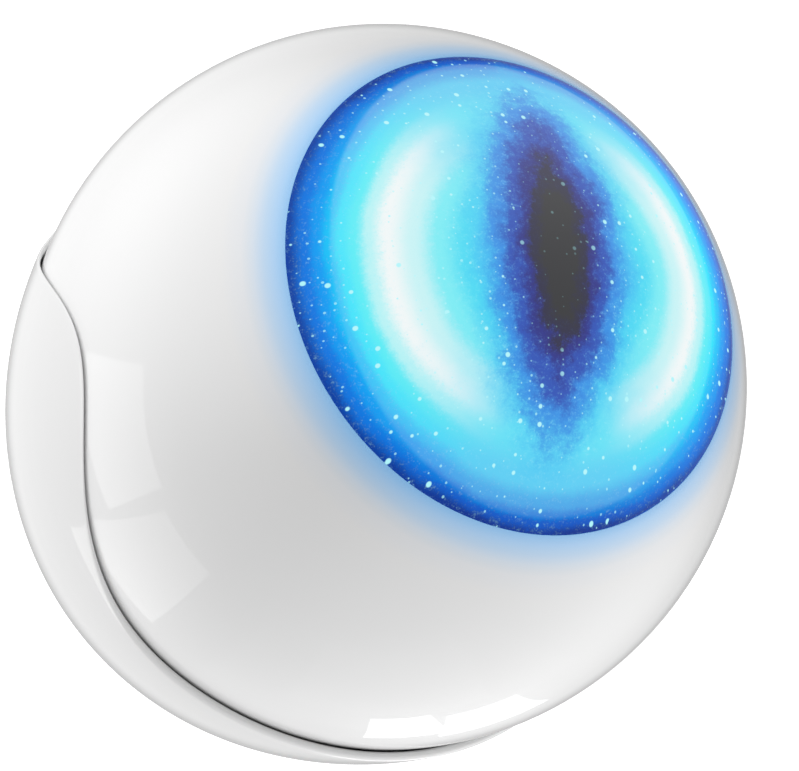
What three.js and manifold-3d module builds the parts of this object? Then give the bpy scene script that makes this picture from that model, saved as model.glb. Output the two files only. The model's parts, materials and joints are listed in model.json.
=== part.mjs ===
// A round battery-powered motion sensor with a large eye-like lens, resting in a cup-shaped holder.
// Millimetres, +Z up. The origin is the centre of the face that the holder stands on or is stuck by.
// The ball's own frame has its origin at the ball's centre and +Z along the lens axis.
import * as THREE from "three";
import { mergeVertices } from "three/addons/utils/BufferGeometryUtils.js";
import Module from "manifold-3d";

const wasm = await Module();
wasm.setup();
const { sin, cos, sqrt, atan2, acos, asin, PI } = Math;
const rad = THREE.MathUtils.degToRad;

// Driving dimensions
const ballRadius = 22;
const shellWall = 1.6;
const gap = 0.2; // between the ball and the cup, and between pieces that are laid in one another
const lensTilt = rad(6.4); // lens axis from the holder's axis, towards -Y
const lensRadius = 15.25; // lens edge, measured from the lens axis
const lensWall = 1.2;
const lensEdgeHeight = 1.4;
const seatWidth = 1.3; // ledge in the front shell that the lens edge rests on
const seatThickness = 1.2;

const padInset = 0.8; // the pad's edge inside the foot's edge
const padThickness = 0.8;
const footRadius = 9.4;
const footWall = 1.8; // cup wall under the ball, on the axis
const lipWall = 0.5;
const rimLow = rad(66.2); // rim's angle from the foot's axis, between the lobes
const rimRise = rad(30.2); // how much higher each lobe reaches
const lobePower = 8; // a higher power makes the lobes narrower
const screwHoleRadius = 2.1;
const screwHeadRadius = 4.2;
const countersinkDepth = 1.1;

const seamHeight = -12.3; // plane in the ball's frame where the rear cover meets the front shell
const seamGap = 0.3;
const collarHeight = 2.1;
const collarWall = 0.9;
const flangeThickness = 0.8;
const flangeWidth = 0.5; // how far the front shell's bayonet flange stands inside its wall
const lugCount = 3;
const lugReach = 1.1;
const lugThickness = 0.8;
const lugWidth = 4;
const lugFreeTurn = rad(20); // turn between locked and free to pull off

const boardInset = 0.6; // from the shell's inner face to the circuit board's edge
const boardThickness = 1;
const cellToBoard = 0.8;
const screwCount = 3;
const postRadius = 1.6;
const screwShankRadius = 0.7;
const screwHeadWidth = 2.6;
const screwHeadHeight = 0.9;
const screwLength = 5;

const cellRadius = 8.4;
const cellLength = 33.2;
const nubRadius = 3.2;
const nubLength = 0.9;
const cellOffset = -0.5; // middle of the cell's can along its axis
const cellHeight = -0.2;
const cradleRim = 1.8; // width of the rails beside the cell
const cradleDepth = 6; // how far the rails reach below the ball's centre
const earThickness = 1;
const earRadius = 2.3;
const springTurns = 2;
const springWire = 0.25;
const springRadius = 3.4;
const contactThickness = 0.3;

const sensorRadius = 4.6;
const sensorHeight = 4.2;
const sensorFlange = 0.5;
const windowSize = 3.6;
const insertWall = 0.6; // facetted lens insert behind the dome
const guideWall = 1.1;
const guideLift = 1.1; // light guide's underside above the board
const lampInset = 3.3; // lamps inside the lens seat

const antennaInset = 1.9;
const antennaStart = rad(110);
const antennaSweep = rad(88);

const buttonTravel = 0.3;
const buttonRadius = 1.1;
const switchSize = 4.4;
const switchHeight = 2.2;

const aroundBall = 40; // facets round the shells
const arcStep = rad(9);
const aroundSmall = 20;

// Dimensions that follow
const cavityRadius = ballRadius + gap;
const ballHeight = padThickness + footWall + cavityRadius;
const innerRadius = ballRadius - shellWall;
const footDrop = cavityRadius + footWall; // foot plane below the ball's centre
const cupWaist = cavityRadius + lipWall; // cup's outer radius level with the ball's centre
const flankRadius = ((cupWaist - footRadius) ** 2 + footDrop ** 2) / (2 * (cupWaist - footRadius));
const lensBase = sqrt(ballRadius ** 2 - lensRadius ** 2) - lensEdgeHeight;
const seatRadius = lensRadius - seatWidth;
const seatHeight = lensBase - gap;
const padRadius = footRadius - padInset;
const flangeRadius = sqrt(innerRadius ** 2 - seamHeight ** 2) - flangeWidth;
const boardHeight = cellHeight + cellRadius + cellToBoard; // the board's underside in the ball's frame
const boardTop = boardHeight + boardThickness;
const boardRadius = sqrt(innerRadius ** 2 - boardTop ** 2) - boardInset;
const screwCircle = boardRadius - postRadius;
const railEdge = cellRadius + gap + cradleRim; // outer face of the cradle's rails
const earBottom = boardHeight - gap - earThickness;
const screwSeat = earBottom - gap / 2; // underside of the ears, where the screw heads bear

const plastic = (color, roughness = 0.2) =>
  new THREE.MeshStandardMaterial({ color, roughness, metalness: 0 });
const metal = (color, roughness = 0.3) =>
  new THREE.MeshStandardMaterial({ color, roughness, metalness: 1 });

// A point on a circle in a lathe profile: x is the radius, y the height, angle from the +Z axis.
const polar = (radius, angle) => new THREE.Vector2(radius * sin(angle), radius * cos(angle));
const at = (x, y) => new THREE.Vector2(x, y);

// Points of an arc about the ball's centre, both ends included.
function arc(radius, from, to, step = arcStep) {
  const steps = Math.max(1, Math.round(Math.abs(to - from) / step));
  return Array.from({ length: steps + 1 }, (_, i) => polar(radius, from + ((to - from) * i) / steps));
}

// A solid of revolution about +Z. The profile runs anticlockwise: outer side going up.
function turned(points, segments = aroundSmall) {
  return new THREE.LatheGeometry(points, segments).rotateX(PI / 2);
}

function cylinder(radius, bottom, top, segments = aroundSmall) {
  return turned([at(0, bottom), at(radius, bottom), at(radius, top), at(0, top)], segments);
}

function ring(inner, outer, bottom, top, segments = aroundSmall) {
  const profile = [at(inner, bottom), at(outer, bottom), at(outer, top), at(inner, top)];
  return turned([...profile, profile[0]], segments);
}

function block(width, depth, height, x = 0, y = 0, bottom = 0) {
  return new THREE.BoxGeometry(width, depth, height).translate(x, y, bottom + height / 2);
}

// Conversions between three.js geometry and manifold-3d solids, for joins and cuts.
function solid(geometry) {
  const bare = new THREE.BufferGeometry().setAttribute("position", geometry.getAttribute("position"));
  if (geometry.index) bare.setIndex(geometry.index);
  const merged = mergeVertices(bare, 1e-4);
  const mesh = { numProp: 3, vertProperties: merged.attributes.position.array };
  return new wasm.Manifold(new wasm.Mesh({ ...mesh, triVerts: new Uint32Array(merged.index.array) }));
}

function geometryOf(manifold) {
  const mesh = manifold.getMesh();
  const geometry = new THREE.BufferGeometry();
  geometry.setAttribute("position", new THREE.BufferAttribute(mesh.vertProperties, 3));
  geometry.setIndex(new THREE.BufferAttribute(mesh.triVerts, 1));
  return geometry.toNonIndexed();
}

function join(base, ...others) {
  return geometryOf(others.reduce((whole, other) => whole.add(solid(other)), solid(base)));
}

function cut(base, ...others) {
  return geometryOf(others.reduce((whole, other) => whole.subtract(solid(other)), solid(base)));
}

function common(a, b) {
  return geometryOf(solid(a).intersect(solid(b)));
}

function piece(name, geometry, material) {
  const mesh = new THREE.Mesh(geometry, material);
  mesh.geometry.computeVertexNormals();
  mesh.name = name;
  return mesh;
}

// Places spread evenly round the axis.
function spread(count, radius, start = 0) {
  return Array.from({ length: count }, (_, i) => {
    const angle = start + (i * 2 * PI) / count;
    return { angle, x: radius * cos(angle), y: radius * sin(angle) };
  });
}

// ---- holder: a foam pad and a cup whose rim rises in two lobes ----

function adhesivePad() {
  return piece("adhesive_pad", cylinder(padRadius, 0, padThickness, 32), plastic("#5a5d60", 0.9));
}

// Outer radius of the cup from the ball's centre, at an angle from the foot's axis.
function cupOuter(angle) {
  const lean = (cupWaist - flankRadius) * sin(angle);
  return lean + sqrt(lean ** 2 - (cupWaist - flankRadius) ** 2 + flankRadius ** 2);
}

const rimAngle = (azimuth) => rimLow + rimRise * cos(azimuth) ** lobePower;

function holderCup() {
  const footEdge = atan2(footRadius, footDrop);
  const lipRound = asin(lipWall / 2 / cavityRadius);
  const fromFoot = (radius, angle) => at(radius * sin(angle), -radius * cos(angle));
  const outer = [];
  const inner = [];
  const steps = 7;
  for (let i = 0; i <= steps; i++) {
    const angle = footEdge + ((rimLow - lipRound - footEdge) * i) / steps;
    outer.push(fromFoot(cupOuter(angle), angle));
    inner.unshift(fromFoot(cavityRadius, angle));
  }
  const lip = fromFoot((cavityRadius + cupOuter(rimLow)) / 2, rimLow);
  const headEdge = asin(screwHeadRadius / cavityRadius);
  const profile = [
    at(screwHoleRadius, -footDrop),
    ...outer,
    lip,
    ...inner,
    fromFoot(cavityRadius, headEdge),
    at(screwHoleRadius, -cavityRadius - footWall + countersinkDepth / 2),
  ];
  const geometry = turned([...profile, profile[0]], 72);
  // The lathe gives an even rim, and the part of the wall above the foot is stretched up to the lobes.
  const position = geometry.getAttribute("position");
  const point = new THREE.Vector3();
  for (let i = 0; i < position.count; i++) {
    point.fromBufferAttribute(position, i);
    const angle = acos(-point.z / point.length());
    if (angle <= footEdge + 1e-6) continue;
    const azimuth = atan2(point.y, point.x);
    const depth = (point.length() - cavityRadius) / (cupOuter(angle) - cavityRadius);
    const share = (angle - footEdge) / (rimLow - footEdge);
    const raised = footEdge + share * (rimAngle(azimuth) - footEdge);
    const radius = cavityRadius + depth * (cupOuter(raised) - cavityRadius);
    const level = radius * sin(raised);
    position.setXYZ(i, level * cos(azimuth), level * sin(azimuth), -radius * cos(raised));
  }
  const cup = piece("holder_cup", geometry, plastic("#f4f4f4", 0.12));
  cup.position.z = ballHeight;
  return cup;
}

// ---- ball: front shell, lens and rear cover ----

function frontShell() {
  const rebate = lensRadius + gap;
  const lensEdge = asin(rebate / ballRadius);
  const outerSeam = acos(seamHeight / ballRadius);
  const seatFoot = seatHeight - seatThickness;
  const flangeTop = seamHeight + flangeThickness;
  const profile = [
    at(flangeRadius, seamHeight),
    ...arc(ballRadius, outerSeam, lensEdge),
    at(rebate, seatHeight),
    at(seatRadius, seatHeight),
    at(seatRadius, seatFoot),
    ...arc(innerRadius, acos(seatFoot / innerRadius), acos(flangeTop / innerRadius)),
    at(flangeRadius, flangeTop),
  ];
  const shell = turned([...profile, profile[0]], aroundBall);
  const postCore = turned(arc(ballRadius - shellWall / 2, PI, 0), aroundBall);
  const postTop = seatHeight - seatThickness / 2;
  const places = spread(screwCount, screwCircle, PI / 2);
  const posts = places.map(({ x, y }) =>
    common(cylinder(postRadius, boardTop + gap, postTop, 16).translate(x, y, 0), postCore),
  );
  const pilots = places.map(({ x, y }) =>
    cylinder(screwShankRadius + gap / 2, boardTop, screwSeat + screwLength + gap, 12).translate(x, y, 0),
  );
  const notchRadius = flangeRadius + lugReach + gap / 2;
  const notches = spread(lugCount, notchRadius / 2, -lugFreeTurn).map(({ angle }) =>
    block(notchRadius, lugWidth + 4 * gap, flangeThickness + 1)
      .translate(notchRadius / 2, 0, seamHeight - 0.5)
      .rotateZ(angle),
  );
  return piece("front_shell", cut(join(shell, ...posts), ...pilots, ...notches), plastic("#f6f6f6", 0.12));
}

function lensDome() {
  const edge = asin(lensRadius / ballRadius);
  const innerDome = ballRadius - lensWall;
  const innerEdge = asin(seatRadius / innerDome);
  const profile = [
    ...arc(innerDome, 0, innerEdge),
    at(seatRadius, lensBase),
    at(lensRadius, lensBase),
    ...arc(ballRadius, edge, 0),
  ];
  return piece("lens_dome", turned(profile, aroundBall), plastic("#1f8fe0", 0.05));
}

function lensInsert() {
  const outer = ballRadius - lensWall - gap;
  const inner = outer - insertWall;
  const reach = seatRadius - 3 * gap;
  const profile = [...arc(inner, 0, asin(reach / inner)), ...arc(outer, asin(reach / outer), 0)];
  return piece("lens_insert", turned(profile, aroundBall), plastic("#8fd8f5", 0.4));
}

function rearCover() {
  const top = seamHeight - seamGap;
  const collarRadius = flangeRadius - gap;
  const collarTop = seamHeight + collarHeight;
  const profile = [
    ...arc(ballRadius, PI, acos(top / ballRadius)),
    at(collarRadius, top),
    at(collarRadius, collarTop),
    at(collarRadius - collarWall, collarTop),
    at(collarRadius - collarWall, top - shellWall / 2),
    ...arc(innerRadius, acos((top - shellWall) / innerRadius), PI),
  ];
  const lugs = spread(lugCount, 0).map(({ angle }) =>
    block(lugReach + collarWall, lugWidth, lugThickness)
      .translate(collarRadius + lugReach / 2 - collarWall / 2, 0, collarTop - lugThickness)
      .rotateZ(angle),
  );
  return piece("rear_cover", join(turned(profile, aroundBall), ...lugs), plastic("#f2f2f2", 0.15));
}

// ---- sensing and light, in front of the circuit board ----

function lightGuide() {
  const outer = seatRadius - gap;
  const top = seatHeight - seatThickness + gap;
  const guide = ring(outer - guideWall, outer, boardTop + guideLift, top, aroundBall);
  return piece("light_guide_ring", guide, plastic("#dff4ff", 0.3));
}

function motionSensor() {
  const bottom = boardTop + gap / 2;
  const top = bottom + sensorHeight;
  const window = windowSize / 2 + gap / 2;
  const can = turned([
    at(0, bottom),
    at(sensorRadius, bottom),
    at(sensorRadius, bottom + sensorFlange),
    at(sensorRadius - 0.4, bottom + sensorFlange),
    at(sensorRadius - 0.4, top - 0.3),
    at(sensorRadius - 0.7, top),
    at(0, top),
  ]);
  const recess = block(2 * window, 2 * window, 1, 0, 0, top - 0.5);
  const filter = block(windowSize, windowSize, 0.35, 0, 0, top - 0.45);
  return [
    piece("motion_sensor_can", cut(can, recess), metal("#b9bcc0", 0.35)),
    piece("motion_sensor_window", filter, plastic("#2b2b30", 0.3)),
  ];
}

function circuitBoard() {
  const disc = cylinder(boardRadius, boardHeight, boardTop, aroundBall);
  const holes = spread(screwCount, screwCircle, PI / 2).map(({ x, y }) =>
    cylinder(screwShankRadius + gap, boardHeight - 1, boardTop + 1, 12).translate(x, y, 0),
  );
  return piece("main_circuit_board", cut(disc, ...holes), plastic("#1d5c36", 0.5));
}

// Chips and lamps on the board: name, size and place, on the lens side or on the cell side.
function boardParts() {
  const shieldWidth = 4.8;
  const chipSize = 4.4;
  const above = boardTop + gap / 2;
  const below = (height) => boardHeight - gap / 2 - height;
  const dark = plastic("#1c1c1f", 0.45);
  const lamps = spread(3, seatRadius - lampInset, rad(-30)).map(({ x, y }, i) =>
    piece(`lamp_${i + 1}`, block(2, 2, 0.8, x, y, above), plastic("#f3f1e4", 0.3)),
  );
  const shieldHeight = 2.3;
  const shieldPlace = -railEdge - 2 * gap - shieldWidth / 2;
  const shield = block(11, shieldWidth, shieldHeight, 0, shieldPlace, below(shieldHeight));
  const chipPlace = railEdge + 2 * gap + chipSize / 2;
  return [
    ...lamps,
    piece("light_sensor", block(2, 1.8, 0.6, 0, -7.4, above), plastic("#3b2f2a", 0.2)),
    piece("tilt_sensor", block(2, 2, 0.9, 7.2, 2.5, above), dark),
    piece("temperature_sensor", block(1.6, 0.9, 0.6, 12.6, 6, above), dark),
    piece("processor_chip", block(chipSize, chipSize, 0.9, -5, chipPlace, below(0.9)), dark),
    piece("radio_shield", shield, metal("#c3c6c9", 0.35)),
  ];
}

function antenna() {
  class Sweep extends THREE.Curve {
    getPoint(share, target = new THREE.Vector3()) {
      const radius = boardRadius - antennaInset;
      const angle = antennaStart + share * antennaSweep;
      return target.set(radius * cos(angle), radius * sin(angle), boardTop + 0.6);
    }
  }
  const section = new THREE.Shape().absarc(0, 0, 0.35, 0, 2 * PI);
  const wire = { extrudePath: new Sweep(), steps: 20, curveSegments: 8, bevelEnabled: false };
  return piece("radio_antenna", new THREE.ExtrudeGeometry(section, wire), metal("#c98f4e", 0.35));
}

// A push switch on the cell side of the board; its plunger is pressed towards the board.
const switchPlace = { x: 5.6, y: railEdge + gap + switchSize / 2 };
function pushSwitch() {
  const bottom = boardHeight - gap / 2 - switchHeight;
  const bore = cylinder(buttonRadius + gap / 2, bottom - 1, bottom + 1.3);
  const base = cut(block(switchSize, switchSize, switchHeight, 0, 0, bottom), bore);
  const plunger = cylinder(buttonRadius, bottom - 0.9, bottom + 1.3 - buttonTravel - gap);
  return [
    piece("switch_base", base.translate(switchPlace.x, switchPlace.y, 0), metal("#aeb1b4", 0.4)),
    piece("switch_plunger", plunger.translate(switchPlace.x, switchPlace.y, 0), plastic("#26262a", 0.4)),
  ];
}

function boardScrews() {
  return spread(screwCount, screwCircle, PI / 2).map(({ x, y }, i) => {
    const profile = [
      at(0, screwSeat - screwHeadHeight),
      at(screwHeadWidth / 2, screwSeat - screwHeadHeight + 0.3),
      at(screwHeadWidth / 2, screwSeat),
      at(screwShankRadius, screwSeat),
      at(screwShankRadius, screwSeat + screwLength),
      at(0, screwSeat + screwLength),
    ];
    return piece(`board_screw_${i + 1}`, turned(profile, 12).translate(x, y, 0), metal("#8d9094", 0.35));
  });
}

// ---- power: the cell lies across the ball in a cradle ----

function cellShape(radius, clearance) {
  const start = cellOffset - cellLength / 2 - clearance;
  const end = cellOffset + cellLength / 2 + clearance;
  return { radius: radius + clearance, start, end, nubEnd: end + nubLength };
}

// A solid about the cell's axis, from a profile of points (distance from the axis, place along it).
function alongCell(points, segments = 28) {
  return turned(points, segments).rotateY(PI / 2).translate(0, 0, cellHeight);
}

function powerCell() {
  const { radius, start, end, nubEnd } = cellShape(cellRadius, 0);
  const edge = 0.5;
  const profile = [
    at(0, start),
    at(radius - edge, start),
    at(radius, start + edge),
    at(radius, end - edge),
    at(radius - edge, end),
    at(nubRadius, end),
    at(nubRadius, nubEnd),
    at(0, nubEnd),
  ];
  return piece("power_cell", alongCell(profile), plastic("#2e6fb0", 0.35));
}

// Places along the cell's axis: the cradle's end walls, the contact and the spring.
function bayPlaces() {
  const room = cellShape(cellRadius, gap);
  const coreRadius = innerRadius - gap;
  const pocketRadius = springRadius + 3 * springWire;
  const wallEnd = sqrt(coreRadius ** 2 - (pocketRadius + 1) ** 2);
  return {
    room,
    coreRadius,
    pocketRadius,
    wallEnd,
    contactStart: room.nubEnd,
    bayEnd: room.nubEnd + contactThickness + gap,
    springEnd: -wallEnd + 0.4,
  };
}

function cellCradle() {
  const { room, coreRadius, pocketRadius, wallEnd, bayEnd, springEnd } = bayPlaces();
  const top = boardHeight - gap;
  const core = turned(arc(coreRadius, PI, 0), aroundBall);
  const body = common(block(2 * wallEnd, 2 * railEdge, top + cradleDepth, 0, 0, -cradleDepth), core);
  const earPlaces = spread(screwCount, screwCircle, PI / 2);
  const ears = earPlaces.map(({ x, y }) => cylinder(earRadius, earBottom, top, 16).translate(x, y, 0));
  const arm = screwCircle - room.radius;
  const tab = block(2 * earRadius, arm, earThickness, 0, room.radius + arm / 2, earBottom);
  const holes = earPlaces.map(({ x, y }) =>
    cylinder(screwShankRadius + gap, earBottom - 1, top + 1, 12).translate(x, y, 0),
  );
  const driverWays = earPlaces.map(({ x, y }) =>
    cylinder(screwHeadWidth / 2 + gap, -cradleDepth - 1, earBottom, 12).translate(x, y, 0),
  );
  const bayLength = bayEnd - room.start;
  const bayMiddle = (bayEnd + room.start) / 2;
  const mouthDepth = cradleDepth + 1;
  const mouth = block(bayLength, 2 * room.radius, mouthDepth + cellHeight, bayMiddle, 0, -mouthDepth);
  const window = block(bayLength, room.radius, top, bayMiddle, 0, 1);
  const hollow = (radius, start, end) =>
    alongCell([at(0, start), at(radius, start), at(radius, end), at(0, end)]);
  const bore = hollow(room.radius, room.start, bayEnd);
  const pocket = hollow(pocketRadius, springEnd, 0);
  const cradle = cut(join(body, tab, ...ears), bore, pocket, mouth, window, ...holes, ...driverWays);
  return piece("cell_cradle", cradle, plastic("#e4e4e2", 0.4));
}

function contactStrip() {
  const width = 2 * (nubRadius - 0.6);
  const bottom = cellHeight - nubRadius;
  const height = boardHeight - gap - bottom;
  const { contactStart } = bayPlaces();
  const strip = block(contactThickness, width, height, contactStart + contactThickness / 2, 0, bottom);
  return piece("positive_contact", strip, metal("#cfc9bb", 0.3));
}

function contactSpring() {
  const { springEnd, room } = bayPlaces();
  const start = springEnd + springWire + gap / 2;
  const end = room.start - springWire;
  class Coil extends THREE.Curve {
    getPoint(share, target = new THREE.Vector3()) {
      const angle = share * springTurns * 2 * PI;
      const radius = springRadius * (1 - share / 3);
      return target.set(start + share * (end - start), radius * cos(angle), cellHeight + radius * sin(angle));
    }
  }
  const section = new THREE.Shape().absarc(0, 0, springWire, 0, 2 * PI);
  const wire = { extrudePath: new Coil(), steps: 16 * springTurns, curveSegments: 6, bevelEnabled: false };
  return piece("contact_spring", new THREE.ExtrudeGeometry(section, wire), metal("#cfd2d4", 0.3));
}

// ---- assembly ----

const ball = new THREE.Group();
ball.position.z = ballHeight;
ball.rotation.x = lensTilt;
ball.add(frontShell(), lensDome(), lensInsert(), rearCover());
ball.add(lightGuide(), ...motionSensor(), circuitBoard(), ...boardParts(), antenna());
ball.add(...pushSwitch(), ...boardScrews());
ball.add(cellCradle(), powerCell(), contactStrip(), contactSpring());

const motionDetector = new THREE.Group();
motionDetector.add(adhesivePad(), holderCup(), ball);
export default motionDetector;
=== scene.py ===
import json
import math

import bmesh
import bpy
from mathutils import Matrix, Vector


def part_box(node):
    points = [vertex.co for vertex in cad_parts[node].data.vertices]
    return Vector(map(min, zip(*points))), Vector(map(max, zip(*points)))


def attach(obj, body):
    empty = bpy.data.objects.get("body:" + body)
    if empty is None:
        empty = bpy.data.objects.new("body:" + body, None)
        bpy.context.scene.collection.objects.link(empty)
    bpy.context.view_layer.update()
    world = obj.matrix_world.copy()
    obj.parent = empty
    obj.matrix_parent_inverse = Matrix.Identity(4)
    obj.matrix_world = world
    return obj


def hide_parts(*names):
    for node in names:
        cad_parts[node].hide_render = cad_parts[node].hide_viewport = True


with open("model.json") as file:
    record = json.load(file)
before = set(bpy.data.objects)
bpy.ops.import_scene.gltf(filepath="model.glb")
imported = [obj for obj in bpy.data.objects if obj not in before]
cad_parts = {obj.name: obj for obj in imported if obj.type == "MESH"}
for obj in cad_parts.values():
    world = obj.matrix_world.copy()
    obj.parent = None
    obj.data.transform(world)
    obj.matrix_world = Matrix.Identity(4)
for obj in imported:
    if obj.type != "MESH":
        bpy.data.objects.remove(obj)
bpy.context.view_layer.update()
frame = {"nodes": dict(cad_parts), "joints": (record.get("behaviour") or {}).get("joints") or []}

# ---- Foam pad -------------------------------------------------------------------------------
# A disc of double-sided closed-cell foam tape, die-cut, that sticks the cup to a wall.
# Its cut cells show as a fine pale speckle.

MM = 0.001


class Value:
    """A socket. Sums on it add Math nodes, and node() adds every other kind of node."""

    def __init__(self, tree, socket):
        self.tree = tree
        self.socket = socket

    def node(self, kind, settings=None, **inputs):
        made = self.tree.nodes.new(kind)
        for setting, value in (settings or {}).items():
            if setting == "stops":
                ramp = made.color_ramp.elements
                while len(ramp) > 1:
                    ramp.remove(ramp[-1])
                ramp[0].position, ramp[0].color = value[0]
                for place, colour in value[1:]:
                    ramp.new(place).color = colour
            else:
                setattr(made, setting, value)
        for name, value in inputs.items():
            key = int(name[1:]) if name[0] == "_" else name.replace("_", " ")
            if isinstance(value, Value):
                self.tree.links.new(value.socket, made.inputs[key])
            else:
                made.inputs[key].default_value = value
        return made

    def out(self, made, name=0):
        return Value(self.tree, made.outputs[name])

    def maths(self, operation, a, b=0.0):
        return self.out(self.node("ShaderNodeMath", {"operation": operation}, _0=a, _1=b))

    def __add__(self, other):
        return self.maths("ADD", self, other)

    __radd__ = __add__

    def __sub__(self, other):
        return self.maths("SUBTRACT", self, other)

    def __rsub__(self, other):
        return self.maths("SUBTRACT", other, self)

    def __mul__(self, other):
        return self.maths("MULTIPLY", self, other)

    __rmul__ = __mul__

    def __truediv__(self, other):
        return self.maths("DIVIDE", self, other)

    def __pow__(self, other):
        return self.maths("POWER", self, other)

    def smooth(self, low, high):
        """0 below low and 1 above high, with a smooth step between."""
        made = self.node(
            "ShaderNodeMapRange",
            {"interpolation_type": "SMOOTHSTEP"},
            Value=self,
            From_Min=low,
            From_Max=high,
        )
        return self.out(made)

    def over(self, low, high):
        """This mask mixes from the colour low to the colour high."""
        made = self.node("ShaderNodeMix", {"data_type": "RGBA"}, Factor=self)
        for key, colour in ((6, low), (7, high)):
            if isinstance(colour, Value):
                self.tree.links.new(colour.socket, made.inputs[key])
            else:
                made.inputs[key].default_value = (*colour[:3], 1)
        return self.out(made, 2)


def finish(name, colour, roughness, metallic=0.0, **plain):
    """A new Principled material: its shader, and the object's own coordinates."""
    material = bpy.data.materials.new(name)
    material.use_nodes = True
    shader = material.node_tree.nodes["Principled BSDF"]
    shader.inputs["Base Color"].default_value = (*colour, 1)
    shader.inputs["Roughness"].default_value = roughness
    shader.inputs["Metallic"].default_value = metallic
    for socket, value in plain.items():
        shader.inputs[socket.replace("_", " ")].default_value = value
    coordinates = material.node_tree.nodes.new("ShaderNodeTexCoord")
    return material, shader, Value(material.node_tree, coordinates.outputs["Object"])


def feed(shader, socket, value):
    value.tree.links.new(value.socket, shader.inputs[socket])


def bump(shader, height, strength, distance):
    made = height.node("ShaderNodeBump", None, Strength=strength, Distance=distance, Height=height)
    feed(shader, "Normal", height.out(made, "Normal"))


def dress(material, *nodes):
    """These CAD nodes keep their shape and get this finish."""
    for node in nodes:
        for material_slot in frame["nodes"][node].material_slots:
            material_slot.material = material


def cells_of(place, scale):
    """Distance from the middle of the nearest cell, for foam and for cast grain."""
    return place.out(place.node("ShaderNodeTexVoronoi", None, Vector=place, Scale=float(scale)), "Distance")


foam_pad, foam_shader, foam_place = finish("foam_pad", (0.6, 0.6, 0.58), 0.9)
foam_cells = cells_of(foam_place, 4200)
foam_tone = foam_cells.smooth(0.1, 0.7).over((0.72, 0.72, 0.7), (0.5, 0.5, 0.49))
feed(foam_shader, "Base Color", foam_tone)
bump(foam_shader, foam_cells, 0.6, 0.05 * MM)
dress(foam_pad, "adhesive_pad")

# ---- Holder cup -----------------------------------------------------------------------------
# A thin glossy white cup, moulded in one piece. Its rim rises in two lobes that hold the ball
# at its widest, and its lip is rounded and thins upwards.

joints = {joint["name"]: joint for joint in frame["joints"]}
ball_centre = Vector(joints["ball_tilt"]["pos_m"])
shell_low, shell_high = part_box("front_shell")
ball_radius = (shell_high.x - shell_low.x) / 2


def polar(radius, angle):
    """A point of an outline at an angle from the axis: (distance from the axis, height)."""
    return (radius * math.sin(angle), radius * math.cos(angle))


def spun(outline, steps, closed=False):
    """An outline spun about Z. It is open where both ends are on the axis."""
    form = bmesh.new()
    points = [form.verts.new((r, 0, h)) for r, h in outline]
    pairs = list(zip(points, points[1:] + points[:1] if closed else points[1:]))
    edges = [form.edges.new(pair) for pair in pairs]
    bmesh.ops.spin(
        form,
        geom=points + edges,
        cent=(0, 0, 0),
        axis=(0, 0, 1),
        angle=math.tau,
        steps=steps,
        use_merge=True,
    )
    bmesh.ops.remove_doubles(form, verts=form.verts, dist=1e-7)
    bmesh.ops.recalc_face_normals(form, faces=form.faces)
    return form


def made_piece(name, form, matrix, material, body, slot, *stands_for):
    """The finished form becomes an object that rides on its body and stands for CAD nodes."""
    form.transform(matrix)
    mesh = bpy.data.meshes.new(name)
    form.to_mesh(mesh)
    form.free()
    mesh.shade_smooth()
    mesh.materials.append(material)
    piece = bpy.data.objects.new(name, mesh)
    bpy.context.scene.collection.objects.link(piece)
    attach(piece, body)
    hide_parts(*stands_for)


def noise(place, scale, detail=2.0, roughness=0.5, distortion=0.0):
    made = place.node(
        "ShaderNodeTexNoise",
        None,
        Vector=place,
        Scale=scale,
        Detail=detail,
        Roughness=roughness,
        Distortion=distortion,
    )
    return place.out(made, "Fac")


def white_gloss(name, tint, roughness):
    """Gloss-moulded white plastic: hardly any texture, only a faint unevenness of the polish."""
    material, shader, place = finish(name, tint, roughness, Coat_Weight=1.0, Coat_Roughness=0.02)
    unevenness = noise(place, 90, 3)
    feed(shader, "Roughness", roughness + (unevenness - 0.5) * 0.08)
    bump(shader, noise(place, 260, 2), 0.02, 0.02 * MM)
    return material, shader, place


foot_radius = 9.4 * MM
foot_drop = ball_centre.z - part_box("holder_cup")[0].z
screw_hole = 2.1 * MM
screw_head = 4.2 * MM
screw_floor = 0.6 * MM
cup_inner = ball_radius + 0.1 * MM
cup_waist = ball_radius + 0.2 * MM
flank_radius = ((cup_waist - foot_radius) ** 2 + foot_drop**2) / (2 * (cup_waist - foot_radius))
rim_low = math.radians(66.2)  # the rim's angle from the foot's axis, between the lobes
rim_rise = math.radians(29.2)  # how much higher each lobe reaches
lobe_power = 8.8  # a higher power makes the lobes narrower
lobe_turn = math.radians(1.5)  # the lobes stand a little round from the X axis
lip_depth = 0.35 * MM / ball_radius


def cup_outer(angle):
    """The cup's outer distance from the ball's centre, at an angle from the foot's axis."""
    lean = (cup_waist - flank_radius) * math.sin(angle)
    return lean + math.sqrt(lean**2 - (cup_waist - flank_radius) ** 2 + flank_radius**2)


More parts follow.
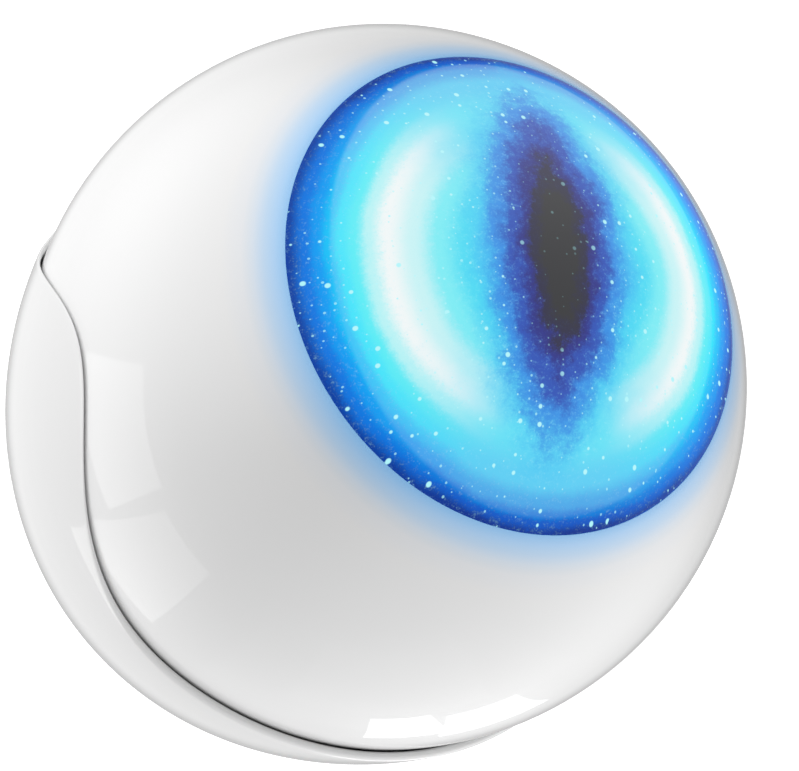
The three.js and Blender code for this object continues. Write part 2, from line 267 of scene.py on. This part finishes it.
def cup_form():
    """The cup is turned with a level rim, and then its rim is drawn up into the two lobes."""
    foot_edge = math.atan2(foot_radius, foot_drop)
    lip_start = rim_low - lip_depth

    def wall(angle, depth):
        return polar(cup_inner + depth * (cup_outer(angle) - cup_inner), math.pi - angle)

    flank = [foot_edge + (lip_start - foot_edge) * i / 30 for i in range(31)]
    lip = [math.pi * i / 12 for i in range(1, 12)]
    well = [foot_edge + (math.asin(screw_head / cup_inner) - foot_edge) * i / 5 for i in range(1, 6)]
    outline = [(screw_hole, -foot_drop)]
    outline += [wall(angle, 1) for angle in flank]
    outline += [wall(lip_start + lip_depth * math.sin(a), 0.5 + 0.5 * math.cos(a)) for a in lip]
    outline += [wall(angle, 0) for angle in reversed(flank)]
    outline += [wall(angle, 0) for angle in well]
    outline += [(screw_hole, -foot_drop + screw_floor)]
    form = spun(outline, 240, closed=True)
    for vert in form.verts:
        angle = math.acos(max(-1, min(1, -vert.co.z / vert.co.length)))
        share = min(1, (angle - foot_edge) / (lip_start - foot_edge))
        if share <= 0:
            continue
        azimuth = math.atan2(vert.co.y, vert.co.x)
        depth = (vert.co.length - cup_inner) / (cup_outer(angle) - cup_inner)
        raised = angle + share * rim_rise * abs(math.cos(azimuth - lobe_turn)) ** lobe_power
        level, height = wall(raised, depth)
        vert.co = Vector((level * math.cos(azimuth), level * math.sin(azimuth), height))
    return form


holder_white, _, _ = white_gloss("holder_white", (0.79, 0.79, 0.79), 0.4)
cup_place = Matrix.Translation(ball_centre)
made_piece("holder_cup_shell", cup_form(), cup_place, holder_white, "holder", "holder_white", "holder_cup")

# ---- Front shell ----------------------------------------------------------------------------
# The ball's visible skin, moulded in gloss white, with a ledge that the dome rests on.
# Round the lens a pale blue glow is painted into the plastic's colour and emission.

lens_axis = Vector(joints["cover_twist"]["axis"]).normalized()
ball_turn = Vector((0, 0, 1)).rotation_difference(lens_axis).to_matrix().to_4x4()
ball_frame = Matrix.Translation(ball_centre) @ ball_turn
lens_radius = 15.25 * MM
lens_edge = math.asin(lens_radius / ball_radius)
seat_gap = 0.03 * MM
seam_height = -12.3 * MM
shell_inner = ball_radius - 1.6 * MM
lens_base = math.sqrt(ball_radius**2 - lens_radius**2) - 1.4 * MM
seat_radius = lens_radius - 1.3 * MM
seat_drop = 0.2 * MM
seat_thickness = 1.2 * MM
flange_step = 0.5 * MM
flange_height = 0.8 * MM
edge_width = 0.06 * MM


def arc(radius, start, end, steps):
    return [polar(radius, start + (end - start) * i / steps) for i in range(steps + 1)]


def ease(form, width, segments=2, sharper_than=35):
    edges = [e for e in form.edges if e.is_manifold and e.calc_face_angle() > math.radians(sharper_than)]
    bmesh.ops.bevel(
        form,
        geom=edges,
        offset=width,
        segments=segments,
        profile=0.5,
        affect="EDGES",
        material=-1,
        clamp_overlap=True,
    )


def front_shell_form():
    rebate = lens_radius + seat_gap
    seat = lens_base - seat_drop
    flange = math.sqrt(shell_inner**2 - seam_height**2) - flange_step
    flange_top = seam_height + flange_height
    seat_foot = seat - seat_thickness
    outline = [
        (flange, seam_height),
        *arc(ball_radius, math.acos(seam_height / ball_radius), math.asin(rebate / ball_radius), 44),
        (rebate, seat),
        (seat_radius, seat),
        (seat_radius, seat_foot),
        *arc(shell_inner, math.acos(seat_foot / shell_inner), math.acos(flange_top / shell_inner), 30),
        (flange, flange_top),
    ]
    form = spun(outline, 180, closed=True)
    ease(form, edge_width)
    return form


painted_glow_width = math.radians(11)  # how far the glow reaches past the lens
painted_glow_spread = math.radians(3)
wider_side = Vector((0.8102, 0.1726, 0))  # the painted glow reaches a little further here


def in_frame(place, matrix):
    """The place, told in a piece's own frame, in metres."""
    turned_back = matrix.inverted()
    made = place.node(
        "ShaderNodeMapping",
        None,
        Vector=place,
        Location=turned_back.translation,
        Rotation=turned_back.to_euler(),
    )
    return place.out(made)


def parts_of(place):
    made = place.node("ShaderNodeSeparateXYZ", None, Vector=place)
    return [place.out(made, axis) for axis in "XYZ"]


def ramp(value, stops, interpolation="LINEAR"):
    """A run of colours along a value."""
    made = value.node("ShaderNodeValToRGB", {"stops": stops}, Fac=value)
    made.color_ramp.interpolation = interpolation
    return value.out(made, "Color")


def shell_finish():
    """The white plastic, with a pale blue glow painted round the lens into its colour and emission."""
    material, shader, place = white_gloss("shell_white", (0.85, 0.85, 0.85), 0.4)
    x, y, z = parts_of(in_frame(place, ball_frame))
    reach = (x * x + y * y) ** 0.5
    angle = reach.maths("ARCTAN2", reach, z)
    sideward = (x * wider_side.x + y * wider_side.y) / (reach + 0.0001)
    beyond = (angle - lens_edge) / (painted_glow_width + sideward.smooth(0.1, 0.9) * painted_glow_spread)
    # Painted glow: the base colour turns blue towards the lens, as if lit from inside.
    painted_glow_tint = [
        (0.0, (0.27, 0.58, 0.86, 1)),
        (0.17, (0.4, 0.64, 0.86, 1)),
        (0.34, (0.53, 0.7, 0.86, 1)),
        (0.5, (0.7, 0.78, 0.86, 1)),
        (0.68, (0.81, 0.83, 0.86, 1)),
        (1.0, (0.85, 0.85, 0.85, 1)),
    ]
    feed(shader, "Base Color", ramp(beyond, painted_glow_tint))
    # Painted glow: a faint blue emission next to the lens, though the shell is no lamp.
    blue = [(0.0, (0, 0.03, 0.14, 1)), (0.3, (0, 0.02, 0.07, 1)), (0.6, (0, 0, 0, 1))]
    feed(shader, "Emission Color", ramp(beyond, blue))
    shader.inputs["Emission Strength"].default_value = 1.0
    return material


shell_white = shell_finish()
made_piece(
    "front_shell_skin", front_shell_form(), ball_frame, shell_white, "sensor", "shell_white", "front_shell"
)

# ---- Rear cover -----------------------------------------------------------------------------
# The back of the ball, in the same gloss white plastic. It twists off to change the cell, and
# its collar reaches up inside the front shell.

seam_gap = 0.12 * MM
collar_step = 0.7 * MM
collar_reach = 2.1 * MM
collar_wall = 0.9 * MM
collar_root = 0.8 * MM


def rear_cover_form():
    top = seam_height - seam_gap
    collar = math.sqrt(shell_inner**2 - seam_height**2) - collar_step
    outline = [
        *arc(ball_radius, math.pi, math.acos(top / ball_radius), 24),
        (collar, top),
        (collar, seam_height + collar_reach),
        (collar - collar_wall, seam_height + collar_reach),
        (collar - collar_wall, top - collar_root),
        *arc(shell_inner, math.acos((top - 2 * collar_root) / shell_inner), math.pi, 18),
    ]
    form = spun(outline, 180)
    ease(form, edge_width)
    return form


cover_white, _, _ = white_gloss("cover_white", (0.85, 0.85, 0.85), 0.4)
made_piece("rear_cover_skin", rear_cover_form(), ball_frame, cover_white, "cover", "shell_white", "rear_cover")

# ---- Lens dome ------------------------------------------------------------------------------
# A polished clear dome over a lit slit-pupil pattern: a dark slit in a blue field, with two
# bright crescents beside it and scattered specks. It is glued to the ledge of the shell.

lens_wall = 1.2 * MM
lens_edge_width = 0.05 * MM


def lens_dome_form():
    inner = ball_radius - lens_wall
    outline = [
        *arc(inner, 0, math.asin(seat_radius / inner), 30),
        (seat_radius, lens_base),
        (lens_radius, lens_base),
        *arc(ball_radius, lens_edge, 0, 48),
    ]
    form = spun(outline, 180)
    ease(form, lens_edge_width)
    return form


def lit(red, green, blue, painted_veil=0.045):
    """A colour as it looks through the pale veil of painted reflection that stands for a studio wall mirrored
    in the dome; the veil's amount is taken away.
    """

    def linear(level):
        share = level / 255
        return share / 12.92 if share < 0.04045 else ((share + 0.055) / 1.055) ** 2.4

    return (*(max(0, linear(level) - painted_veil) for level in (red, green, blue)), 1)


# cells per metre, smallest and largest size in a cell, how rare, and how bright
speck_kinds = ((820, 0.06, 0.15, 0.64, 1.0), (1900, 0.1, 0.18, 0.74, 0.6))


def lens_finish():
    """A lit lens: a dark slit in a blue field, two bright crescents beside it, and specks."""
    material, shader, place = finish("lens_blue", (0.004, 0.005, 0.008), 0.05)
    shader.inputs["Specular IOR Level"].default_value = 0.06
    lens_place = in_frame(place, ball_frame)
    x, y, _ = parts_of(lens_place)
    across = x / lens_radius
    along = y / lens_radius
    aside = across.maths("ABSOLUTE", across)
    cloud = noise(place, 260, 4, 0.55) - 0.5
    patches = noise(place, 760, 3, 0.6) - 0.5
    grain = (noise(place, 3000, 2, 0.6) + noise(place, 9000, 2, 0.6)) * 0.5 - 0.5
    radius = (across * across + along * along) ** 0.5
    ragged = radius + cloud * 0.04 + grain * 0.05

    side_stops = [
        (0.3, lit(76, 192, 246)),
        (0.4, lit(85, 224, 247)),
        (0.5, lit(130, 240, 248)),
        (0.59, lit(205, 247, 249)),
        (0.68, lit(246, 251, 251)),
        (0.74, lit(190, 247, 249)),
        (0.79, lit(95, 240, 249)),
        (0.83, lit(40, 226, 249, 0)),
        (0.87, lit(22, 192, 246, 0)),
        (0.91, lit(14, 155, 240, 0)),
        (0.95, lit(14, 118, 222, 0)),
        (1.0, lit(8, 62, 158, 0)),
    ]
    cross_stops = [
        (0.3, lit(74, 196, 247)),
        (0.5, lit(90, 218, 248)),
        (0.7, lit(108, 230, 249)),
        (0.84, lit(98, 210, 247)),
        (0.91, lit(80, 172, 236)),
        (0.945, lit(50, 136, 222)),
        (0.965, lit(12, 88, 196, 0)),
        (1.0, lit(6, 46, 138, 0)),
    ]
    beside = (aside / (radius + 0.001) - along * 0.06 + cloud * 0.2).smooth(0.3, 0.92)
    field = beside.over(ramp(ragged, cross_stops, "EASE"), ramp(ragged, side_stops, "EASE"))

    middle = across - along * 0.04 + cloud * 0.1
    slit = middle.maths("ABSOLUTE", middle) / 0.42
    slit = (slit**1.6 + ((along - 0.04) / 0.97) ** 2) ** 0.5
    slit = slit + cloud * 0.12 + patches * 0.24 + grain * 0.16
    slit_stops = [
        (0.24, lit(66, 66, 67)),
        (0.36, lit(62, 61, 82)),
        (0.45, lit(60, 64, 140)),
        (0.56, lit(60, 92, 186)),
        (0.7, lit(66, 150, 232)),
        (0.86, lit(76, 200, 247)),
    ]
    glow = slit.smooth(0.66, 1.0).over(ramp(slit, slit_stops, "EASE"), field)
    off_slit = slit.smooth(0.25, 0.75)
    glow = (grain.smooth(0.0, 0.3) * off_slit * 0.35).over(glow, lit(170, 238, 252))

    for spacing, least, most, rarest, brightness in speck_kinds:
        spots = glow.node(
            "ShaderNodeTexVoronoi",
            {"voronoi_dimensions": "2D"},
            Vector=lens_place,
            Scale=float(spacing),
        )
        chance = glow.node("ShaderNodeSeparateColor", None, Color=glow.out(spots, "Color"))
        kind = glow.out(chance, "Red") + cloud * 0.7
        size = least + kind.smooth(rarest, rarest + 0.4) * (most - least)
        spark = (size - glow.out(spots, "Distance")).smooth(0.0, 0.06) * kind.smooth(rarest, rarest + 0.03)
        glow = (spark * (off_slit * 0.8 + 0.2) * brightness).over(glow, lit(185, 250, 255))

    # Painted reflection: a pale white veil over the middle of the dome, brighter towards the top, stands for a
    # studio wall mirrored in it.
    painted_veil_reach = (((across + 0.02) / 0.85) ** 2 + (along / 0.955) ** 2) ** 0.5
    painted_veil = (1 - painted_veil_reach.smooth(0.985, 1.005)) * (0.045 + along.smooth(-0.3, 1.0) * 0.07)
    glow = painted_veil.over(glow, (1, 1, 1))
    feed(shader, "Emission Color", glow)
    shader.inputs["Emission Strength"].default_value = 1.0
    return material


lens_blue = lens_finish()
made_piece("lens_dome_glow", lens_dome_form(), ball_frame, lens_blue, "sensor", "lens_blue", "lens_dome")

# ---- Lens insert and light guide ------------------------------------------------------------
# A milky moulded insert with rings that spread the light, and a clear ring that carries the
# lamps' light round the edge. Both snap in under the dome.


def around_axis(place):
    """The distance from the lens's axis, and the angle round it."""
    x, y, _ = parts_of(in_frame(place, ball_frame))
    return (x * x + y * y) ** 0.5, y.maths("ARCTAN2", y, x)


def waves(value, period):
    """An even ripple from 0 to 1 that repeats each period."""
    turned = value * (math.tau / period)
    return turned.maths("SINE", turned) * 0.5 + 0.5


insert_tint = (0.75, 0.8, 0.85)
lens_insert, insert_shader, insert_place = finish("lens_insert", insert_tint, 0.45, Subsurface_Weight=0.2)
insert_shader.inputs["Subsurface Scale"].default_value = 0.5 * MM
insert_reach, _ = around_axis(insert_place)
insert_rings = waves(insert_reach, 0.5 * MM)
milkiness = noise(insert_place, 420, 3)
feed(insert_shader, "Base Color", milkiness.over((0.7, 0.78, 0.86), (0.84, 0.88, 0.9)))
feed(insert_shader, "Roughness", 0.38 + insert_rings * 0.14)
bump(insert_shader, insert_rings, 0.4, 0.06 * MM)
dress(lens_insert, "lens_insert")

guide_tint = (0.8, 0.88, 0.95)
light_guide, guide_shader, guide_place = finish("light_guide", guide_tint, 0.12, Transmission_Weight=0.5)
_, guide_angle = around_axis(guide_place)
guide_prisms = waves(guide_angle, math.radians(3))
feed(guide_shader, "Base Color", guide_prisms.over((0.7, 0.84, 0.96), (0.88, 0.93, 0.97)))
feed(guide_shader, "Roughness", 0.08 + noise(guide_place, 900, 2) * 0.12)
bump(guide_shader, guide_prisms, 0.3, 0.08 * MM)
dress(light_guide, "light_guide_ring")

# ---- Motion sensor --------------------------------------------------------------------------
# A drawn nickel-plated can, faintly brushed, soldered to the board. Its window is a slip of
# dark coated silicon glued in from inside.


def brushed(name, dark, light, roughness, scale, along):
    """Plated or bare metal, with fine scratches that run one way, and dull patches."""
    material, shader, place = finish(name, light, roughness, 1.0)
    spread = place.node("ShaderNodeVectorMath", {"operation": "MULTIPLY"}, _0=place, _1=along)
    scratches = noise(place.out(spread, "Vector"), scale, 4, 0.65)
    patches = noise(place, 300, 3)
    feed(shader, "Base Color", (scratches * 0.5 + patches * 0.5).smooth(0.3, 0.7).over(dark, light))
    feed(shader, "Roughness", roughness + (scratches - 0.5) * 0.3 + (patches - 0.5) * 0.16)
    bump(shader, scratches, 0.3, 0.01 * MM)
    return material


dress(brushed("sensor_can", (0.5, 0.48, 0.44), (0.72, 0.7, 0.66), 0.28, 900, (1, 1, 9)), "motion_sensor_can")
sensor_window, window_shader, window_place = finish("sensor_window", (0.03, 0.028, 0.04), 0.14, Coat_Weight=0.6)
coating = noise(window_place, 520, 3, 0.6, 0.8)
window_tone = coating.smooth(0.3, 0.7).over((0.018, 0.016, 0.026), (0.055, 0.04, 0.075))
feed(window_shader, "Base Color", window_tone)
feed(window_shader, "Roughness", 0.1 + coating * 0.12)
dress(sensor_window, "motion_sensor_window")

# ---- Circuit board --------------------------------------------------------------------------
# Glass-fibre board under a green solder mask. The copper shows through as paler tracks, and
# the weave of the glass shows as a fine relief.

circuit_board, board_shader, board_place = finish("circuit_board", (0.02, 0.16, 0.07), 0.38, Coat_Weight=0.3)
board_x, board_y, board_z = parts_of(in_frame(board_place, ball_frame))
track_bricks = board_place.node(
    "ShaderNodeTexBrick",
    {"offset": 0.37, "squash": 0.6, "squash_frequency": 3},
    Vector=in_frame(board_place, ball_frame),
    Scale=420.0,
    Mortar_Size=0.06,
    Mortar_Smooth=0.1,
    Brick_Width=1.6,
    Row_Height=0.34,
)
tracks = board_place.out(track_bricks, "Fac")
weave = waves(board_x + board_z, 0.45 * MM) * waves(board_y, 0.45 * MM)
mask_tone = noise(board_place, 240, 3)
mask_green = mask_tone.over((0.012, 0.11, 0.045), (0.022, 0.17, 0.07))
feed(board_shader, "Base Color", (tracks * 0.7).over(mask_green, (0.07, 0.32, 0.13)))
feed(board_shader, "Roughness", 0.3 + mask_tone * 0.14 + weave * 0.05)
bump(board_shader, tracks * 0.7 + weave * 0.3, 0.35, 0.03 * MM)
dress(circuit_board, "main_circuit_board")

# ---- Lamps and chips ------------------------------------------------------------------------
# Small white ceramic lamps with a yellowish phosphor, and black chips cast in epoxy with a
# fine sparkling filler. All are soldered to the board.

lamp_finish, lamp_shader, lamp_place = finish("lamp", (0.9, 0.86, 0.6), 0.35)
phosphor = cells_of(lamp_place, 5200)
lamp_tone = (phosphor * 0.6 + noise(lamp_place, 1600, 2) * 0.4).smooth(0.2, 0.7)
feed(lamp_shader, "Base Color", lamp_tone.over((0.92, 0.8, 0.36), (0.93, 0.91, 0.8)))
feed(lamp_shader, "Roughness", 0.25 + lamp_tone * 0.25)
bump(lamp_shader, phosphor, 0.25, 0.03 * MM)
dress(lamp_finish, "lamp_1", "lamp_2", "lamp_3")


def moulded(name, dark, light, roughness, grain_scale, depth):
    """Moulded or cast plastic: a fine even grain, and slow drifts of tone and polish."""
    material, shader, place = finish(name, light, roughness)
    grain = cells_of(place, grain_scale)
    drift = noise(place, 200, 3)
    feed(shader, "Base Color", (grain * 0.4 + drift * 0.6).smooth(0.2, 0.8).over(dark, light))
    feed(shader, "Roughness", roughness + (drift - 0.5) * 0.16 + grain * 0.06)
    bump(shader, grain, 0.4, depth)
    return material


chip_black = moulded("chip_black", (0.012, 0.012, 0.013), (0.035, 0.035, 0.037), 0.55, 7000, 0.012 * MM)
dress(chip_black, "processor_chip", "light_sensor", "tilt_sensor", "temperature_sensor")

# ---- Radio shield and antenna ---------------------------------------------------------------
# A tinned can pressed over the radio, and a bent copper strip that is its antenna.

dress(brushed("radio_shield", (0.55, 0.55, 0.54), (0.78, 0.78, 0.77), 0.32, 700, (8, 1, 1)), "radio_shield")
dress(brushed("copper_wire", (0.55, 0.2, 0.1), (0.86, 0.42, 0.26), 0.3, 800, (1, 7, 1)), "radio_antenna")

# ---- Push switch and screws -----------------------------------------------------------------
# A stamped steel switch with a moulded plunger that is pressed from behind, and three small
# zinc-plated screws that hold the board down.

dress(brushed("switch_metal", (0.42, 0.42, 0.42), (0.68, 0.68, 0.68), 0.36, 900, (1, 8, 1)), "switch_base")
switch_plunger = moulded("switch_plunger", (0.02, 0.02, 0.022), (0.06, 0.06, 0.062), 0.45, 5200, 0.015 * MM)
dress(switch_plunger, "switch_plunger")
screw_steel = brushed("screw_steel", (0.4, 0.42, 0.46), (0.66, 0.68, 0.72), 0.3, 1100, (1, 1, 6))
dress(screw_steel, "board_screw_1", "board_screw_2", "board_screw_3")

# ---- Cell and its cradle --------------------------------------------------------------------
# A moulded cradle screwed under the board, and one cell in a printed shrink wrap with plain
# bands. It is held between a nickel-plated contact and a coil spring.

cradle_plastic = moulded("cradle_plastic", (0.5, 0.51, 0.52), (0.66, 0.67, 0.68), 0.5, 3600, 0.03 * MM)
dress(cradle_plastic, "cell_cradle")

cell_wrap, wrap_shader, wrap_place = finish("cell_wrap", (0.03, 0.15, 0.45), 0.3, Coat_Weight=0.4)
wrap_along, _, _ = parts_of(in_frame(wrap_place, ball_frame))
near_end = wrap_along.smooth(8.4 * MM, 8.6 * MM)
crease = noise(wrap_place, 500, 4, 0.6, 0.5)
wrap_blue = crease.over((0.02, 0.12, 0.38), (0.035, 0.18, 0.5))
feed(wrap_shader, "Base Color", near_end.over(wrap_blue, (0.62, 0.62, 0.6)))
feed(wrap_shader, "Roughness", 0.24 + crease * 0.14)
bump(wrap_shader, crease, 0.2, 0.05 * MM)
dress(cell_wrap, "power_cell")

contact_metal = brushed("contact_metal", (0.55, 0.53, 0.48), (0.78, 0.75, 0.69), 0.26, 900, (1, 1, 8))
dress(contact_metal, "positive_contact", "contact_spring")

# ---- Camera ---------------------------------------------------------------------------------
# The camera looks down on the cup at a slant, from a long way off, and is rolled.

view_azimuth = math.radians(-48.2)
view_elevation = math.radians(49.6)
view_roll = math.radians(46)
to_viewer = Vector(
    (
        math.sin(view_azimuth) * math.cos(view_elevation),
        -math.cos(view_azimuth) * math.cos(view_elevation),
        math.sin(view_elevation),
    )
)
level_right = Vector((math.cos(view_azimuth), math.sin(view_azimuth), 0))
level_up = to_viewer.cross(level_right)
view_right = level_right * math.cos(view_roll) + level_up * math.sin(view_roll)
view_up = level_up * math.cos(view_roll) - level_right * math.sin(view_roll)


def seen_from_camera(right, up, near):
    """A direction given by how far it goes right, up and towards the viewer."""
    return (view_right * right + view_up * up + to_viewer * near).normalized()


camera_data = bpy.data.cameras.new("camera")
camera_data.lens = 800
camera_data.sensor_width = 36
camera_data.clip_start = 0.05
camera_data.clip_end = 40
camera = bpy.data.objects.new("camera", camera_data)
bpy.context.scene.collection.objects.link(camera)
ball_share = 0.9095  # the ball's outline against half the picture's width
distance = ball_radius / (ball_share * camera_data.sensor_width / 2 / camera_data.lens)
aim = ball_centre + view_right * 0.96 * MM + view_up * 0.09 * MM
turn = Matrix((view_right, view_up, to_viewer)).transposed().to_4x4()
camera.matrix_world = Matrix.Translation(aim + to_viewer * distance) @ turn
bpy.context.scene.camera = camera

# ---- Floor and studio lights ----------------------------------------------------------------
# A plain white table top and a pale studio, a little dimmer behind the sensor. Soft panels
# stand round it, and the gloss of the ball mirrors their edges.

floor_mesh = bpy.data.meshes.new("floor")
floor_form = bmesh.new()
bmesh.ops.create_grid(floor_form, x_segments=1, y_segments=1, size=3)
floor_form.to_mesh(floor_mesh)
floor_form.free()
floor = bpy.data.objects.new("floor", floor_mesh)
bpy.context.scene.collection.objects.link(floor)
floor_finish, floor_shader, _ = finish("floor_white", (0.9, 0.9, 0.9), 0.6)
floor_shader.inputs["Emission Color"].default_value = (1, 1, 1, 1)
floor_shader.inputs["Emission Strength"].default_value = 0.6
floor_mesh.materials.append(floor_finish)
floor.visible_glossy = False
floor.visible_diffuse = False
floor.visible_shadow = False

scene = bpy.context.scene
scene.view_settings.view_transform = "Standard"
studio_front = 0.2
window_distance = 0.6
studio_dusk = 0.6  # what is left of the light straight behind the sensor
studio_walls = [
    (seen_from_camera(-0.66, 0, -0.75), 0.78),
    (seen_from_camera(0.5, -0.87, 0), 1.1),
    (seen_from_camera(-0.54, 0.74, 0.4), 1.26),
    (seen_from_camera(0.92, 0, -0.4), 0.36),
]
world = bpy.data.worlds.new("studio")
scene.world = world
world.use_nodes = True
studio = world.node_tree.nodes["Background"]
gaze = Value(world.node_tree, world.node_tree.nodes.new("ShaderNodeTexCoord").outputs["Generated"])


def towards(direction):
    made = gaze.node("ShaderNodeVectorMath", {"operation": "DOT_PRODUCT"}, _0=gaze, _1=direction)
    return gaze.out(made, "Value")


walls = (towards(place).smooth(0.25, 1.0) * brightness for place, brightness in studio_walls)
wall_light = sum(walls, studio_front)
not_behind = towards(to_viewer).smooth(-0.98, -0.92)
studio_light = wall_light * (studio_dusk + not_behind * (1 - studio_dusk))
world.node_tree.links.new(studio_light.socket, studio.inputs["Strength"])
studio.inputs["Color"].default_value = (1, 1, 1, 1)


def panel(name, direction, width, height, brightness, tilt):
    """A soft light panel that faces the ball. Brightness is how bright its face looks."""
    light = bpy.data.lights.new(name, "AREA")
    light.shape = "RECTANGLE"
    light.size = width
    light.size_y = height
    light.energy = brightness * math.pi * width * height
    placed = bpy.data.objects.new(name, light)
    bpy.context.scene.collection.objects.link(placed)
    sideways = view_up.cross(direction).normalized()
    upwards = direction.cross(sideways)
    facing_ball = Matrix((sideways, upwards, direction)).transposed().to_4x4()
    stand = Matrix.Translation(ball_centre + direction * window_distance)
    placed.matrix_world = stand @ facing_ball @ Matrix.Rotation(tilt, 4, "Z")
    placed.visible_camera = False


# name, direction (right, up, towards the viewer), width, height, brightness, tilt
windows = [
    ("left_window", (-0.984, -0.158, -0.087), 0.3, 0.322, 1.0, -0.05),
    ("low_left_window", (-0.769, -0.568, -0.292), 0.46, 0.2, 0.75, -0.3),
    ("low_window", (0.04, -0.67, -0.742), 0.087, 0.188, 1.6, -0.04),
    ("low_right_window", (0.19, -0.6, -0.78), 0.1, 0.2, 1.6, -0.35),
    ("low_wall", (0.005, -0.933, -0.359), 0.63, 0.6, 0.1, 0.03),
    ("low_opening", (0.026, -0.945, -0.325), 0.34, 0.39, 0.15, -0.15),
]
for name, place, width, height, brightness, tilt in windows:
    panel(name, seen_from_camera(*place), width, height, brightness, tilt)
